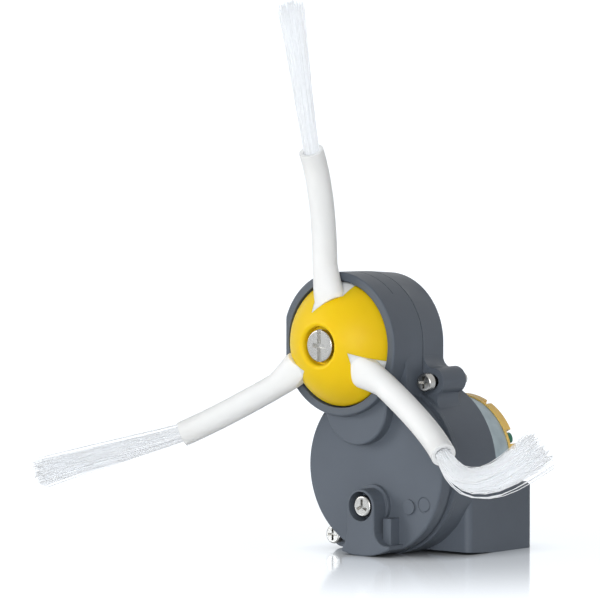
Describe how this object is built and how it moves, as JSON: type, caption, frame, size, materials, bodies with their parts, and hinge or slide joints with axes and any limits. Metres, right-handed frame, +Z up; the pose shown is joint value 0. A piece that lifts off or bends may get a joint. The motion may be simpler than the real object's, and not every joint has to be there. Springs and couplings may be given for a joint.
{
  "type": "robot vacuum side brush module",
  "caption": "Side brush drive module: grey gear case with a motor at its back, and a yellow domed hub whose white rubber arms end in bristle tufts, turned through an enclosed gear train.",
  "frame": {"origin": "on the standing face under the block's cradle, below the motor's axis and midway along the block", "axes": "+Z up, +Y to the rear along the motor's axis and the way the chassis screws point, +X to the side with the block"},
  "size_m": [0.1543, 0.0762, 0.1396],
  "materials": {
    "case_plastic": "moulded grey plastic with a fine satin texture",
    "screw_nickel": "bright nickel plate",
    "can_zinc": "dull zinc plate",
    "band_black": "satin black",
    "cap_amber": "moulded amber plastic",
    "contact_brass": "bare stamped brass",
    "suppressor_green": "dipped green coating",
    "magnet_ferrite": "dark sintered ferrite",
    "carbon": "pressed graphite",
    "bush_bronze": "sintered bronze",
    "pin_steel": "ground steel",
    "winding_copper": "copper",
    "gear_plastic": "natural acetal",
    "seal_rubber": "black rubber",
    "hub_yellow": "moulded yellow plastic, glossy",
    "arm_rubber": "white rubber, satin",
    "bristle_nylon": "clear white nylon filaments"
  },
  "bodies": {
    "case": {"front_housing": "case_plastic", "rear_housing": "case_plastic", "chassis_screws": "screw_nickel", "case_screw": "screw_nickel", "motor_can": "can_zinc", "flux_band": "band_black", "motor_end_cap": "cap_amber", "motor_terminals": "contact_brass", "suppressor": "suppressor_green", "magnets": "magnet_ferrite", "carbon_brushes": "carbon", "front_motor_bush": "bush_bronze", "rear_motor_bush": "bush_bronze", "motor_screws": "screw_nickel", "contact_blades": "contact_brass", "idler_pins": "pin_steel", "output_bush": "bush_bronze", "shaft_seal": "seal_rubber"},
    "brush": {"hub": "hub_yellow", "brush_screw": "screw_nickel", "arm_1": "arm_rubber", "arm_2": "arm_rubber", "arm_3": "arm_rubber", "tuft_1": "bristle_nylon", "tuft_2": "bristle_nylon", "tuft_3": "bristle_nylon", "output_gear": "gear_plastic"},
    "idler_a": {"idler_gear_a": "gear_plastic"},
    "idler_b": {"idler_gear_b": "gear_plastic"},
    "rotor": {"motor_shaft": "pin_steel", "motor_pinion": "bush_bronze", "armature_core": "pin_steel", "windings": "winding_copper", "commutator": "winding_copper"}
  },
  "joints": [
    {"name": "brush_spin", "type": "hinge", "parent": "case", "child": "brush", "pos_m": [-0.0076, -0.01845, 0.05315], "axis": [0, 1, 0], "continuous": true},
    {"name": "idler_b_spin", "type": "hinge", "parent": "case", "child": "idler_b", "pos_m": [-0.00385, -0.01845, 0.03759], "axis": [0, 1, 0], "continuous": true},
    {"name": "idler_a_spin", "type": "hinge", "parent": "case", "child": "idler_a", "pos_m": [-0.00866, -0.01845, 0.0266], "axis": [0, 1, 0], "continuous": true},
    {"name": "rotor_spin", "type": "hinge", "parent": "case", "child": "rotor", "pos_m": [0, -0.01845, 0.0216], "axis": [0, 1, 0], "continuous": true}
  ],
  "couplings": [
    {"joint": "idler_b_spin", "follows": "brush_spin", "ratio": -3.5714},
    {"joint": "idler_a_spin", "follows": "brush_spin", "ratio": 10.714},
    {"joint": "rotor_spin", "follows": "brush_spin", "ratio": -25}
  ]
}
